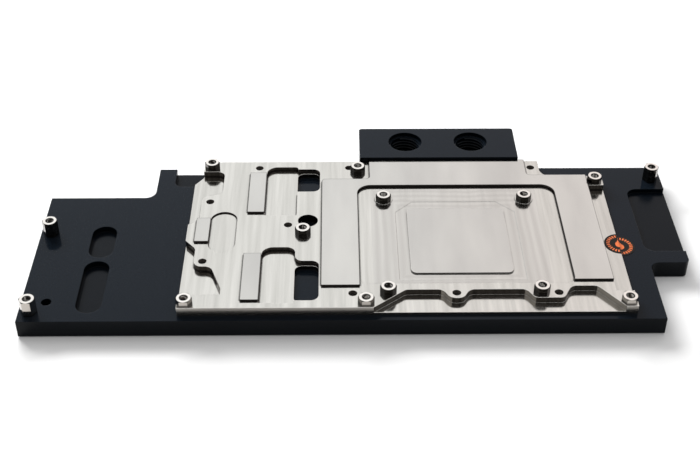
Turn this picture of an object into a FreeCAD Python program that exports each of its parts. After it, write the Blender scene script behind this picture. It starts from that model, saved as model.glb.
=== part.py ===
import FreeCAD, Part
import Sketcher
from math import cos, pi, sin
import os
import re

# Full-cover liquid cooling block for a graphics card, lying on its outer face.
# Z = 0 is the outer face of the black top, +Z points towards the circuit board, the origin is
# under the middle of the four graphics chip screws, X runs along the card and Y across it.

sizes = {
    # black acetal top, outline in plan
    "plate_thick": 7.0,
    "plate_left": -153.6,
    "plate_front": -37.8,
    "plate_rear": 51.9,
    "plate_right": 82.9,
    "wing_rear": 33.0,
    "arm_left": -114.0,
    "step_right": 68.4,
    "tab_front": -7.6,
    "wing_corner": 4.0,
    "tab_corner": 3.5,
    "tab_round": 1.8,
    "edge_break": 0.4,
    # relief pockets of the top
    "arm_pocket_inset": 6.7,
    "arm_pocket_width": 15.3,
    "arm_pocket_front": 40.2,
    "arm_pocket_depth": 2.7,
    "arm_pocket_corner": 3.0,
    "end_pocket_left": 68.1,
    "end_pocket_front": -1.0,
    "end_pocket_rear": 37.4,
    "end_pocket_depth": 1.75,
    "end_pocket_corner": 4.0,
    "slot_middle": -130.1,
    "slot_width": 9.0,
    "slot_depth": 2.3,
    "rear_slot_front": -3.4,
    "rear_slot_rear": 15.0,
    "front_slot_front": -33.4,
    "front_slot_rear": -5.4,
    "corner_hole_x": -144.9,
    "corner_hole_y": -27.6,
    "corner_hole": 3.6,
    # terminal block and the tongue of the top that carries it
    "tongue_thick": 5.0,
    "terminal_left": -35.1,
    "terminal_right": 27.4,
    "terminal_rear": 72.7,
    "terminal_top": 12.3,
    "terminal_gap": 0.1,
    "terminal_round": 1.2,
    "port_left": -16.7,
    "port_right": 9.5,
    "port_y": 63.1,
    "port_minor": 11.445,
    "port_relief": 13.3,
    "port_relief_depth": 1.7,
    "port_mouth": 9.6,
    # water ways inside the top
    "chamber_depth": 4.0,
    "chamber_margin": 2.0,
    "chamber_corner": 1.5,
    "tunnel_width": 9.4,
    "tunnel_low": 1.5,
    "tunnel_high": 4.2,
    "tunnel_front": 36.0,
    "jet_half": 18.5,
    "jet_front": -9.0,
    "jet_rear": 12.0,
    "jet_wall": 3.0,
    "jet_lip": 1.2,
    "inlet_left": 1.2,
    "jet_plate_thick": 0.8,
    "jet_slot_half": 14.0,
    "jet_slot_width": 2.4,
    "jet_fit": 0.1,
    # seals and their grooves
    "groove_width": 2.0,
    "groove_depth": 1.2,
    "groove_fit": 0.1,
    "groove_corner": 3.0,
    "seal_right": 49.6,
    "seal_front": -23.5,
    "seal_rear": 43.5,
    "seal_neck": -47.5,
    "seal_gap_rear": 28.8,
    "seal_waist": -63.0,
    "seal_bay_rear": 41.5,
    "seal_left": -88.6,
    "seal_bay_front": -29.0,
    "seal_gap_front": -6.4,
    "island_left": -66.4,
    "island_right": -49.0,
    "island_front": 7.0,
    "island_rear": 20.0,
    "port_seal_inner": 12.6,
    "port_seal_outer": 16.0,
    # nickel-plated cold plate, outline in plan
    "cold_thick": 3.5,
    "cold_left": -99.2,
    "cold_right": 58.7,
    "cold_front": -35.1,
    "cold_rear": 51.8,
    "cold_end_rear": 41.4,
    "cold_notch": 35.1,
    "cold_notch_corner": 4.5,
    "cold_ear": -96.1,
    "cold_ear_low": 44.4,
    "cold_ear_base": 39.9,
    # raised memory contact faces
    "raise_height": 0.75,
    "raise_left": -49.9,
    "raise_right": 52.45,
    "raise_left_front": -24.1,
    "raise_right_front": -21.5,
    "raise_inner_left": -36.4,
    "raise_inner_right": 38.9,
    "raise_inner_rear": 34.95,
    "raise_left_rear": 39.2,
    "raise_band_left": -31.5,
    "raise_band_right": 29.6,
    "raise_inner_corner": 5.2,
    "raise_corner": 1.5,
    "strip_left": -77.7,
    "strip_right": -71.4,
    "rear_strip_front": 18.2,
    "rear_strip_rear": 43.6,
    "front_strip_front": -31.7,
    "front_strip_rear": -6.3,
    "edge_strip_left": -96.1,
    "edge_strip_right": -90.95,
    "edge_strip_front": 0.7,
    "edge_strip_rear": 14.6,
    # field round the graphics chip and its contact pad
    "field_depth": 0.25,
    "field_front": -22.6,
    "field_front_corner": 2.5,
    "moat_depth": 0.12,
    "moat_half": 22.4,
    "moat_front": -20.6,
    "moat_rear": 25.4,
    "moat_bevel": 6.5,
    "pad_half": 18.2,
    "pad_front": -17.1,
    "pad_rear": 20.6,
    "pad_raise": 0.45,
    "pad_corner": 2.2,
    # milled relief of the cold plate
    "ledge_depth": 2.4,
    "ledge_corner": 3.0,
    "ledge_left": -34.2,
    "ledge_left_top": -20.5,
    "ledge_flat": -25.9,
    "ledge_hump": -24.2,
    "ledge_hump_left": 37.3,
    "ledge_right_top": 46.2,
    "ledge_right": 56.0,
    "ledge_boss_front": -30.4,
    "boss_half": 2.2,
    "boss_slope": 2.6,
    "boss_round": 3.3,
    "post_boss_half": 2.7,
    "pair_boss_right": 1.6,
    "pair_boss_round": 2.2,
    "bay_wall": -95.3,
    "bay_corner": 3.0,
    "rear_bay_front": 11.6,
    "rear_bay_lip": -98.0,
    "rear_bay_turn": 15.6,
    "rear_bay_step": 28.4,
    "rear_bay_knee": 31.0,
    "rear_bay_right": -87.8,
    "rear_bay_rear": 45.3,
    "front_bay_rear": 1.9,
    "front_bay_turn": -2.7,
    "front_bay_boss": 2.9,
    "front_bay_foot": 3.1,
    "front_bay_right": -84.7,
    "front_bay_knee": -24.9,
    "front_bay_front": -28.0,
    "deck_depth": 1.65,
    "deck_left": -71.3,
    "deck_right": -59.3,
    "deck_corner": 4.0,
    "window_right": -50.7,
    "window_land": 0.9,
    "window_corner": 2.7,
    "window_foot_across": 1.2,
    "window_foot_along": 2.6,
    "rear_deck_front": 17.0,
    "rear_deck_rear": 48.2,
    "rear_window_front": 31.9,
    "rear_lobe_rear": 46.7,
    "rear_step_round": 1.1,
    "rear_neck_round": 0.3,
    "front_deck_front": -32.6,
    "front_deck_rear": -2.05,
    "front_window_front": -31.3,
    "front_lobe_rear": -9.9,
    "front_step_round": 3.2,
    "front_neck_round": 2.8,
    "round_window_x": -55.0,
    "round_window_y": 13.6,
    "round_window": 7.4,
    "channel_depth": 0.6,
    "channel_middle": -86.1,
    "channel_width": 9.85,
    "channel_front": -4.9,
    "channel_rear": 19.2,
    "side_ledge_front": -27.0,
    "side_ledge_rear": 35.4,
    # cooling fins on the wet side
    "fin_pitch": 1.0,
    "fin_slot": 0.5,
    "fin_depth": 1.9,
    "fin_count": 34,
    "fin_front": -15.0,
    "fin_rear": 18.0,
    # fasteners
    "gpu_pitch": 53.2,
    "board_gap": 2.5,
    "hex_flats": 5.0,
    "post_land": 0.8,
    "crown_height": 0.25,
    "crown_width": 1.0,
    "crown_angle": 60.0,
    "post_bore": 2.5,
    "post_bore_chamfer": 0.3,
    "post_bore_depth": 2.1,
    "tall_bore_depth": 5.0,
    "stud": 3.0,
    "stud_length": 1.8,
    "stud_fit": 0.02,
    "stud_bottom_gap": 0.2,
    "tall_stud_length": 4.0,
    "screw": 3.0,
    "screw_fit": 0.02,
    "screw_clearance": 0.4,
    "screw_head": 5.6,
    "screw_head_height": 1.8,
    "screw_head_gap": 0.3,
    "screw_sink": 2.1,
    "screw_socket": 2.0,
    "screw_socket_depth": 1.1,
    "screw_tip_gap": 1.6,
    "terminal_screw_left": -31.4,
    "terminal_screw_right": 23.7,
    "terminal_screw_front": 56.2,
    "terminal_screw_rear": 68.6,
    "terminal_screw_bite": 4.6,
    "screw_end_room": 1.1,
    # seal label across the joint at the right side
    "label": 11.3,
    "label_x": 59.1,
    "label_y": 1.9,
    "label_thick": 0.12,
}

# Screws that hold the cold plate to the top, and the seats of the board standoffs.
base_screws = [
    (-92.1, 25.6), (-92.2, -9.9), (-74.4, 47.6), (-62.3, 11.1), (-39.4, 47.6),
    (-38.9, -27.7), (-3.0, -27.7), (32.4, -27.7), (31.9, 47.4),
]
board_posts = [
    (-92.9, 48.4), (-96.6, -32.5), (-56.75, 6.5), (-36.0, 45.7),
    (-34.4, -32.5), (55.9, -32.5), (55.5, 38.2),
]
tall_posts = [(-149.8, 11.1), (-149.8, -32.6), (78.7, 44.1)]

for stem, spots in (("screw", base_screws), ("board", board_posts), ("tall", tall_posts)):
    for number, (x, y) in enumerate(spots, 1):
        sizes[f"{stem}_{number}_x"] = x
        sizes[f"{stem}_{number}_y"] = y

doc = FreeCAD.newDocument("ColdPlate")
sheet = doc.addObject("Spreadsheet::Sheet", "Size")
for row, (alias, value) in enumerate(sizes.items(), 1):
    sheet.set(f"A{row}", alias)
    sheet.set(f"B{row}", str(value))
    sheet.setAlias(f"B{row}", alias)
doc.recompute()


def ref(text):
    """An expression that reads the named sizes from the sheet."""
    return re.sub(r"[a-z][a-z_0-9]*", r"Size.\g<0>", str(text))


def settle(feature):
    """Recompute, and stop at a feature that failed."""
    doc.recompute()
    if "Invalid" in feature.State or "Error" in feature.State or not feature.isValid():
        raise RuntimeError(f"{feature.Name}: {feature.State} {feature.getStatusString()}")
    return feature


def new_body(name):
    body = doc.addObject("PartDesign::Body", name)
    body.Label = name
    body.AllowCompound = True
    return body


def origin_plane(body, role):
    return next(item for item in body.Origin.OriginFeatures if item.Role == role)


def hold(sketch, kind, geometry, point, text, start=1.0):
    """Place one point of the sketch by its distance from the sketch origin."""
    number = sketch.addConstraint(Sketcher.Constraint(kind, -1, 1, geometry, point, start))
    sketch.setExpression(f"Constraints[{number}]", ref(text))


def outline(body, name, level, loops=(), circles=(), role="XY_Plane"):
    """A sketch of closed straight-sided loops and circles at a height above the origin plane."""
    sketch = body.newObject("Sketcher::SketchObject", name)
    sketch.AttachmentSupport = [(origin_plane(body, role), "")]
    sketch.MapMode = "FlatFace"
    sketch.setExpression("AttachmentOffset.Base.z", ref(level))
    for loop in loops:
        start = sketch.GeometryCount
        count = len(loop)
        ring = [FreeCAD.Vector(cos(2 * pi * i / count), sin(2 * pi * i / count), 0) for i in range(count)]
        for corner in range(count):
            sketch.addGeometry(Part.LineSegment(ring[corner], ring[(corner + 1) % count]), False)
        for corner, (x, y) in enumerate(loop):
            line = start + corner
            before = start + (corner - 1) % count
            sketch.addConstraint(Sketcher.Constraint("Coincident", before, 2, line, 1))
            hold(sketch, "DistanceX", line, 1, x)
            hold(sketch, "DistanceY", line, 1, y)
    for x, y, diameter in circles:
        circle = Part.Circle(FreeCAD.Vector(1, 1, 0), FreeCAD.Vector(0, 0, 1), 1)
        index = sketch.addGeometry(circle, False)
        hold(sketch, "DistanceX", index, 3, x)
        hold(sketch, "DistanceY", index, 3, y)
        number = sketch.addConstraint(Sketcher.Constraint("Diameter", index, 2.0))
        sketch.setExpression(f"Constraints[{number}]", ref(diameter))
    return settle(sketch)


def pill(body, name, level, middle, width, front, rear):
    """A sketch of a slot with round ends that runs along Y."""
    sketch = body.newObject("Sketcher::SketchObject", name)
    sketch.AttachmentSupport = [(origin_plane(body, "XY_Plane"), "")]
    sketch.MapMode = "FlatFace"
    sketch.setExpression("AttachmentOffset.Base.z", ref(level))
    x, radius = sizes[middle], sizes[width] / 2
    low, high = sizes[front] + radius, sizes[rear] - radius
    up = FreeCAD.Vector(0, 0, 1)
    rear_round = Part.Circle(FreeCAD.Vector(x, high, 0), up, radius)
    front_round = Part.Circle(FreeCAD.Vector(x, low, 0), up, radius)
    sketch.addGeometry(Part.ArcOfCircle(rear_round, 0, pi), False)
    sketch.addGeometry(Part.LineSegment(
        FreeCAD.Vector(x - radius, high, 0), FreeCAD.Vector(x - radius, low, 0)), False)
    sketch.addGeometry(Part.ArcOfCircle(front_round, pi, 2 * pi), False)
    sketch.addGeometry(Part.LineSegment(
        FreeCAD.Vector(x + radius, low, 0), FreeCAD.Vector(x + radius, high, 0)), False)
    for first, second in ((0, 1), (1, 2), (2, 3), (3, 0)):
        sketch.addConstraint(Sketcher.Constraint("Tangent", first, 2, second, 1))
    for arc, end in ((0, f"{rear} - {width} / 2"), (2, f"{front} + {width} / 2")):
        hold(sketch, "DistanceX", arc, 3, middle, x)
        hold(sketch, "DistanceY", arc, 3, end, high if arc == 0 else low)
    number = sketch.addConstraint(Sketcher.Constraint("Radius", 0, radius))
    sketch.setExpression(f"Constraints[{number}]", ref(f"{width} / 2"))
    return settle(sketch)


def pad(body, name, sketch, length):
    feature = body.newObject("PartDesign::Pad", name)
    feature.Profile = sketch
    feature.setExpression("Length", ref(length))
    return settle(feature)


def cut(body, name, sketch, depth=None, upward=False, taper=None):
    """A pocket below the sketch, or above it, or right through both ways."""
    before = body.Tip.Shape.Volume
    feature = body.newObject("PartDesign::Pocket", name)
    feature.Profile = sketch
    if depth is None:
        feature.Type = "ThroughAll"
        feature.Midplane = True
    else:
        feature.setExpression("Length", ref(depth))
        feature.Reversed = upward
    if taper:
        feature.setExpression("TaperAngle", ref(taper))
    settle(feature)
    removed = before - feature.Shape.Volume
    if removed <= 0.01:
        raise RuntimeError(f"{name} cuts nothing")
    return feature


def upright_edges(shape, sketch, corners):
    """Names of the edges that stand on the given corners of a sketch."""
    names = []
    places = [sketch.Geometry[corner].StartPoint for corner in corners]
    for number, edge in enumerate(shape.Edges, 1):
        if len(edge.Vertexes) < 2:
            continue
        low, high = edge.Vertexes[0].Point, edge.Vertexes[1].Point
        if abs(low.z - high.z) < 0.01:
            continue
        for place in places:
            flat = FreeCAD.Vector(place.x, place.y, 0)
            if all((FreeCAD.Vector(end.x, end.y, 0) - flat).Length < 0.01 for end in (low, high)):
                names.append(f"Edge{number}")
                break
    return names


def round_corners(body, name, sketch, corners, radius):
    base = body.Tip
    feature = body.newObject("PartDesign::Fillet", name)
    feature.Base = (base, upright_edges(base.Shape, sketch, corners))
    feature.setExpression("Radius", ref(radius))
    return settle(feature)


def box(left, front, right, rear):
    return [(left, front), (right, front), (right, rear), (left, rear)]


def offset(path, amount):
    """A right-angled loop moved outwards by an amount, with the numbers of its outer corners."""
    points = [(sizes[x], sizes[y]) for x, y in path]
    count = len(points)
    area = sum(points[i][0] * points[(i + 1) % count][1] - points[(i + 1) % count][0] * points[i][1]
               for i in range(count))
    turn = 1 if area > 0 else -1
    moved, outer = [], []
    for i in range(count):
        back, here, ahead = points[i - 1], points[i], points[(i + 1) % count]
        first = (here[0] - back[0], here[1] - back[1])
        second = (ahead[0] - here[0], ahead[1] - here[1])
        x_sign = sum(direction[1] > 0 for direction in (first, second)) - sum(
            direction[1] < 0 for direction in (first, second))
        y_sign = sum(direction[0] < 0 for direction in (first, second)) - sum(
            direction[0] > 0 for direction in (first, second))
        moved.append((f"{path[i][0]} + {turn * x_sign} * ({amount})",
                      f"{path[i][1]} + {turn * y_sign} * ({amount})"))
        if turn * (first[0] * second[1] - first[1] * second[0]) > 0:
            outer.append(i)
    return moved, outer


def hexagon(x, y, flats):
    """Six corners, with a flat side towards +Y and -Y, of the width across flats."""
    reach = 1 / 3 ** 0.5
    turns = [pi * side / 3 for side in range(6)]
    return [(f"{x} + {flats} * {reach * cos(turn):.5f}", f"{y} + {flats} * {reach * sin(turn):.5f}")
            for turn in turns]


def named_spots(stem, count):
    return [(f"{stem}_{number}_x", f"{stem}_{number}_y") for number in range(1, count + 1)]


screw_spots = named_spots("screw", len(base_screws))
board_spots = named_spots("board", len(board_posts))
tall_spots = named_spots("tall", len(tall_posts))
gpu_spots = [(f"{x} * gpu_pitch / 2", f"{y} * gpu_pitch / 2") for x in (-1, 1) for y in (-1, 1)]
terminal_spots = [(x, y) for x in ("terminal_screw_left", "terminal_screw_right")
                  for y in ("terminal_screw_front", "terminal_screw_rear")]
port_spots = [("port_left", "port_y"), ("port_right", "port_y")]

deck_level = "plate_thick + cold_thick"
field_level = "plate_thick + cold_thick - field_depth"
seal_path = [
    ("seal_right", "seal_front"), ("seal_right", "seal_rear"), ("seal_neck", "seal_rear"),
    ("seal_neck", "seal_gap_rear"), ("seal_waist", "seal_gap_rear"), ("seal_waist", "seal_bay_rear"),
    ("seal_left", "seal_bay_rear"), ("seal_left", "seal_bay_front"), ("seal_waist", "seal_bay_front"),
    ("seal_waist", "seal_gap_front"), ("seal_neck", "seal_gap_front"), ("seal_neck", "seal_front"),
]
island_path = [
    ("island_left", "island_front"), ("island_right", "island_front"),
    ("island_right", "island_rear"), ("island_left", "island_rear"),
]


def band(body, name, level, path, half):
    """A sketch of the strip between two loops, one on each side of a right-angled path."""
    outer, outward = offset(path, half)
    inner, inward = offset(path, f"-({half})")
    sketch = outline(body, name, level, [outer, inner])
    count = len(path)
    wide = [i if i in outward else i + count for i in range(count)]
    tight = [i + count if i in outward else i for i in range(count)]
    return sketch, wide, tight


# Black top: a 7 mm plate with a wing at the left, a thin tongue at the rear and a tab at the right.
top = new_body("top_plate")
top_edge = outline(top, "TopOutline", "0", [[
    ("plate_left", "plate_front"), ("step_right", "plate_front"), ("step_right", "tab_front"),
    ("plate_right", "tab_front"), ("plate_right", "plate_rear"), ("arm_left", "plate_rear"),
    ("arm_left", "wing_rear"), ("plate_left", "wing_rear")]])
pad(top, "TopPad", top_edge, "plate_thick")
round_corners(top, "WingCorner", top_edge, [6], "wing_corner")
round_corners(top, "TabCorner", top_edge, [2], "tab_corner")
round_corners(top, "TabRound", top_edge, [3], "tab_round")
tongue = outline(top, "Tongue", "0", [
    box("terminal_left", "plate_rear - 2", "terminal_right", "terminal_rear")])
pad(top, "TonguePad", tongue, "tongue_thick")
round_corners(top, "TongueRound", tongue, [2, 3], "terminal_round")

slab = top.Tip
outer_rim = [f"Edge{number}" for number, edge in enumerate(slab.Shape.Edges, 1)
             if edge.BoundBox.ZMax < 0.001]
rim = top.newObject("PartDesign::Chamfer", "OuterRim")
rim.Base = (slab, outer_rim)
rim.setExpression("Size", ref("edge_break"))
settle(rim)

arm_pocket = outline(top, "ArmPocket", "plate_thick", [
    box("arm_left + arm_pocket_inset", "arm_pocket_front",
        "arm_left + arm_pocket_inset + arm_pocket_width", "plate_rear + 1")])
cut(top, "ArmPocketCut", arm_pocket, "arm_pocket_depth")
round_corners(top, "ArmPocketCorner", arm_pocket, [0], "arm_pocket_corner")
end_pocket = outline(top, "EndPocket", "plate_thick", [
    box("end_pocket_left", "end_pocket_front", "plate_right + 1", "end_pocket_rear")])
cut(top, "EndPocketCut", end_pocket, "end_pocket_depth")
round_corners(top, "EndPocketCorner", end_pocket, [0, 3], "end_pocket_corner")
for stem in ("rear_slot", "front_slot"):
    slot = pill(top, f"{stem}_shape", "plate_thick", "slot_middle", "slot_width",
                f"{stem}_front", f"{stem}_rear")
    cut(top, f"{stem}_cut", slot, "slot_depth")
cut(top, "CornerHoleCut", outline(top, "CornerHole", "plate_thick", circles=[
    ("corner_hole_x", "corner_hole_y", "corner_hole")]))

# Water chamber, open towards the cold plate, with an island round the middle screw.
chamber_loop = offset(seal_path, "-chamber_margin")[0]
island_loop = offset(island_path, "chamber_margin")[0]
chamber = outline(top, "Chamber", "plate_thick", [chamber_loop, island_loop])
cut(top, "ChamberCut", chamber, "chamber_depth")
round_corners(top, "ChamberCorner", chamber, range(len(seal_path)), "chamber_corner")
inlet_wall = outline(top, "InletWall", "plate_thick - chamber_depth", [[
    ("-jet_half", "jet_front"), ("jet_half", "jet_front"),
    ("jet_half", "seal_rear - chamber_margin + 0.5"), ("inlet_left", "seal_rear - chamber_margin + 0.5"),
    ("inlet_left", "jet_rear"), ("-jet_half", "jet_rear")]])
pad(top, "InletWallPad", inlet_wall, "chamber_depth")
inlet = outline(top, "Inlet", "plate_thick", [[
    ("jet_wall - jet_half", "jet_front + jet_wall"), ("jet_half - jet_wall", "jet_front + jet_wall"),
    ("jet_half - jet_wall", "seal_rear - chamber_margin"),
    ("inlet_left + jet_wall", "seal_rear - chamber_margin"),
    ("inlet_left + jet_wall", "jet_rear - jet_wall"), ("jet_wall - jet_half", "jet_rear - jet_wall")]])
cut(top, "InletCut", inlet, "chamber_depth")
jet_seat = outline(top, "JetSeat", "plate_thick", [box(
    "jet_lip - jet_half", "jet_front + jet_lip", "jet_half - jet_lip", "jet_rear - jet_lip")])
cut(top, "JetSeatCut", jet_seat, "jet_plate_thick")
tunnels = outline(top, "Tunnels", "tunnel_high", [
    box(f"{x} - tunnel_width / 2", "tunnel_front", f"{x} + tunnel_width / 2", y) for x, y in port_spots])
cut(top, "TunnelCut", tunnels, "tunnel_high - tunnel_low")
cut(top, "MouthCut", outline(top, "Mouths", "tongue_thick", circles=[
    (x, y, "port_mouth") for x, y in port_spots]), "tongue_thick - tunnel_low")

# Seal grooves in the inner face and on the tongue.
for name, path in (("Main", seal_path), ("Island", island_path)):
    groove, wide, tight = band(top, f"{name}Groove", "plate_thick", path, "groove_width / 2")
    cut(top, f"{name}GrooveCut", groove, "groove_depth")
    round_corners(top, f"{name}GrooveOuter", groove, wide, "groove_corner")
    round_corners(top, f"{name}GrooveInner", groove, tight, "groove_corner - groove_width")
cut(top, "PortGrooveCut", outline(top, "PortGrooves", "tongue_thick", circles=[
    (x, y, edge) for x, y in port_spots for edge in ("port_seal_inner", "port_seal_outer")]), "groove_depth")

# Screw holes with sunk heads in the outer face, and blind seats for the tall standoffs.
all_screws = screw_spots + terminal_spots
cut(top, "ScrewHoleCut", outline(top, "ScrewHoles", "plate_thick", circles=[
    (x, y, "screw + screw_clearance") for x, y in all_screws]))
cut(top, "ScrewSinkCut", outline(top, "ScrewSinks", "0", circles=[
    (x, y, "screw_head + 2 * screw_head_gap") for x, y in all_screws]), "screw_sink", upward=True)
cut(top, "TallSeatCut", outline(top, "TallSeats", "plate_thick", circles=[
    (x, y, "stud + 2 * stud_fit") for x, y in tall_spots]), "tall_stud_length + stud_bottom_gap")

# Nickel-plated cold plate.
cold = new_body("cold_plate")
cold_edge = outline(cold, "ColdOutline", "plate_thick", [[
    ("cold_left", "cold_front"), ("cold_right", "cold_front"), ("cold_right", "cold_end_rear"),
    ("cold_notch", "cold_end_rear"), ("cold_notch", "cold_rear"), ("cold_ear", "cold_rear"),
    ("cold_ear", "cold_ear_low"), ("cold_left", "cold_ear_base")]])
pad(cold, "ColdPad", cold_edge, "cold_thick")
round_corners(cold, "ColdNotchCorner", cold_edge, [3], "cold_notch_corner")

# Raised contact faces: an arch over the chip field and three strips at the left.
arch = outline(cold, "Arch", deck_level, [[
    ("raise_left", "raise_left_front"), ("raise_inner_left", "raise_left_front"),
    ("raise_inner_left", "raise_inner_rear"), ("raise_inner_right", "raise_inner_rear"),
    ("raise_inner_right", "raise_right_front"), ("raise_right", "raise_right_front"),
    ("raise_right", "cold_end_rear"), ("raise_band_right", "cold_end_rear"),
    ("raise_band_right", "cold_rear"), ("raise_band_left", "cold_rear"),
    ("raise_band_left", "raise_left_rear"), ("raise_left", "raise_left_rear")]])
pad(cold, "ArchPad", arch, "raise_height")
round_corners(cold, "ArchInnerCorner", arch, [2, 3], "raise_inner_corner")
round_corners(cold, "ArchCorner", arch, [7, 10, 11], "raise_corner")
strips = outline(cold, "Strips", deck_level, [
    box("strip_left", "rear_strip_front", "strip_right", "rear_strip_rear"),
    box("strip_left", "front_strip_front", "strip_right", "front_strip_rear"),
    box("edge_strip_left", "edge_strip_front", "edge_strip_right", "edge_strip_rear")])
pad(cold, "StripPad", strips, "raise_height")

# Field of the graphics chip, a shallow moat and the contact pad.
field = outline(cold, "Field", deck_level, [
    box("raise_inner_left", "field_front", "raise_inner_right", "raise_inner_rear")],
    [(x, y, "hex_flats + 2 * post_land") for x, y in gpu_spots[1::2]])
cut(cold, "FieldCut", field, "field_depth")
round_corners(cold, "FieldCorner", field, [0, 1], "field_front_corner")
moat = outline(cold, "Moat", field_level, [[
    ("-moat_half", "moat_front"), ("moat_half", "moat_front"), ("moat_half", "moat_rear - moat_bevel"),
    ("moat_half - moat_bevel", "moat_rear"), ("moat_bevel - moat_half", "moat_rear"),
    ("-moat_half", "moat_rear - moat_bevel")]])
cut(cold, "MoatCut", moat, "moat_depth")
contact = outline(cold, "ContactPad", f"{field_level} - moat_depth", [
    box("-pad_half", "pad_front", "pad_half", "pad_rear")])
pad(cold, "ContactPadPad", contact, "moat_depth + pad_raise")
round_corners(cold, "ContactPadCorner", contact, [0, 1, 2, 3], "pad_corner")

# Low ledges: a scalloped one along the front, a strip at the right and two bays at the left.
front_ledge = outline(cold, "FrontLedge", deck_level, [[
    ("ledge_left", "cold_front - 1.9"), ("ledge_left_top", "ledge_flat"),
    ("screw_7_x - boss_half - boss_slope", "ledge_flat"), ("screw_7_x - boss_half", "ledge_boss_front"),
    ("screw_7_x + boss_half", "ledge_boss_front"), ("screw_7_x + boss_half + boss_slope", "ledge_flat"),
    ("gpu_pitch / 2 - post_boss_half - boss_slope", "ledge_flat"),
    ("gpu_pitch / 2 - post_boss_half", "ledge_boss_front"),
    ("screw_8_x + pair_boss_right", "ledge_boss_front"), ("ledge_hump_left", "ledge_hump"),
    ("ledge_right_top", "ledge_hump"), ("ledge_right", "cold_front - 1.9")]])
cut(cold, "FrontLedgeCut", front_ledge, "ledge_depth")
round_corners(cold, "FrontLedgeWide", front_ledge, [1, 2, 5, 6, 9, 10], "ledge_corner")
round_corners(cold, "FrontLedgeBoss", front_ledge, [3, 4], "boss_round")
round_corners(cold, "FrontLedgePair", front_ledge, [7, 8], "pair_boss_round")
side_ledge = outline(cold, "SideLedge", deck_level, [
    box("raise_right", "side_ledge_front", "cold_right + 1", "side_ledge_rear")])
cut(cold, "SideLedgeCut", side_ledge, "ledge_depth")
rear_bay = outline(cold, "RearBay", deck_level, [[
    ("cold_left - 1", "rear_bay_front"), ("rear_bay_lip", "rear_bay_front"),
    ("bay_wall", "rear_bay_turn"), ("bay_wall", "rear_bay_step"), ("rear_bay_right", "rear_bay_knee"),
    ("rear_bay_right", "rear_bay_rear"), ("cold_left - 1", "rear_bay_rear")]])
cut(cold, "RearBayCut", rear_bay, "ledge_depth")
round_corners(cold, "RearBayCorner", rear_bay, [3, 4, 5], "bay_corner")
front_bay = outline(cold, "FrontBay", deck_level, [[
    ("cold_left - 1", "front_bay_front"), ("front_bay_right", "front_bay_front"),
    ("front_bay_right", "front_bay_knee"), ("screw_2_x + front_bay_foot", "screw_2_y - front_bay_boss"),
    ("bay_wall", "screw_2_y - front_bay_boss"), ("bay_wall", "front_bay_turn"),
    ("cold_left", "front_bay_rear"), ("cold_left - 1", "front_bay_rear")]])
cut(cold, "FrontBayCut", front_bay, "ledge_depth")
round_corners(cold, "FrontBayCorner", front_bay, [2, 3, 4, 5], "bay_corner")

# Sunk decks beside the strips, with the windows that open into them.
for stem in ("rear", "front"):
    deck = outline(cold, f"{stem}_deck", deck_level, [[
        ("deck_left", f"{stem}_deck_front"), ("deck_right", f"{stem}_deck_front"),
        ("deck_right", f"{stem}_window_front"), ("window_right", f"{stem}_window_front"),
        ("window_right", f"{stem}_lobe_rear"), ("deck_right", f"{stem}_lobe_rear"),
        ("deck_right", f"{stem}_deck_rear"), ("deck_left", f"{stem}_deck_rear")]])
    cut(cold, f"{stem}_deck_cut", deck, "deck_depth")
    window = outline(cold, f"{stem}_window", deck_level, [[
        ("deck_right", f"{stem}_window_front + window_foot_along"),
        ("deck_right + window_foot_across", f"{stem}_window_front"),
        ("window_right", f"{stem}_window_front"), ("window_right", f"{stem}_lobe_rear - window_land"),
        ("deck_right", f"{stem}_lobe_rear - window_land")]])
    cut(cold, f"{stem}_window_cut", window)
    round_corners(cold, f"{stem}_window_corner", window, [2, 3, 4], "window_corner")
    round_corners(cold, f"{stem}_lobe_corner", deck, [4], "window_corner")
    round_corners(cold, f"{stem}_deck_end", deck, [7], "deck_corner")
    round_corners(cold, f"{stem}_deck_step", deck, [6], f"{stem}_step_round")
    round_corners(cold, f"{stem}_deck_neck", deck, [5], f"{stem}_neck_round")
cut(cold, "RoundWindowCut", outline(cold, "RoundWindow", deck_level, circles=[
    ("round_window_x", "round_window_y", "round_window")]))
channel = pill(cold, "Channel", deck_level, "channel_middle", "channel_width",
               "channel_front", "channel_rear")
cut(cold, "ChannelCut", channel, "channel_depth")

# Tapped holes for the screws, blind seats for the standoffs and the fins on the wet side.
cut(cold, "TappedHoleCut", outline(cold, "TappedHoles", deck_level, circles=[
    (x, y, "screw + 2 * screw_fit") for x, y in screw_spots]))
cut(cold, "PostSeatCut", outline(cold, "PostSeats", deck_level, circles=[
    (x, y, "stud + 2 * stud_fit") for x, y in board_spots + gpu_spots]), "stud_length + stud_bottom_gap")
fin_start = "-(fin_count * fin_pitch) / 2 + fin_pitch / 2"
fin = outline(cold, "FinSlot", "plate_thick", [box(
    f"{fin_start} - fin_slot / 2", "fin_front", f"{fin_start} + fin_slot / 2", "fin_rear")])
fin_cut = cut(cold, "FinSlotCut", fin, "fin_depth", upward=True)
fins = cold.newObject("PartDesign::LinearPattern", "Fins")
fins.Originals = [fin_cut]
fins.Direction = (fin, ["H_Axis"])
fins.setExpression("Length", ref("(fin_count - 1) * fin_pitch"))
fins.setExpression("Occurrences", ref("fin_count"))
cold.Tip = fins
settle(fins)

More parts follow.
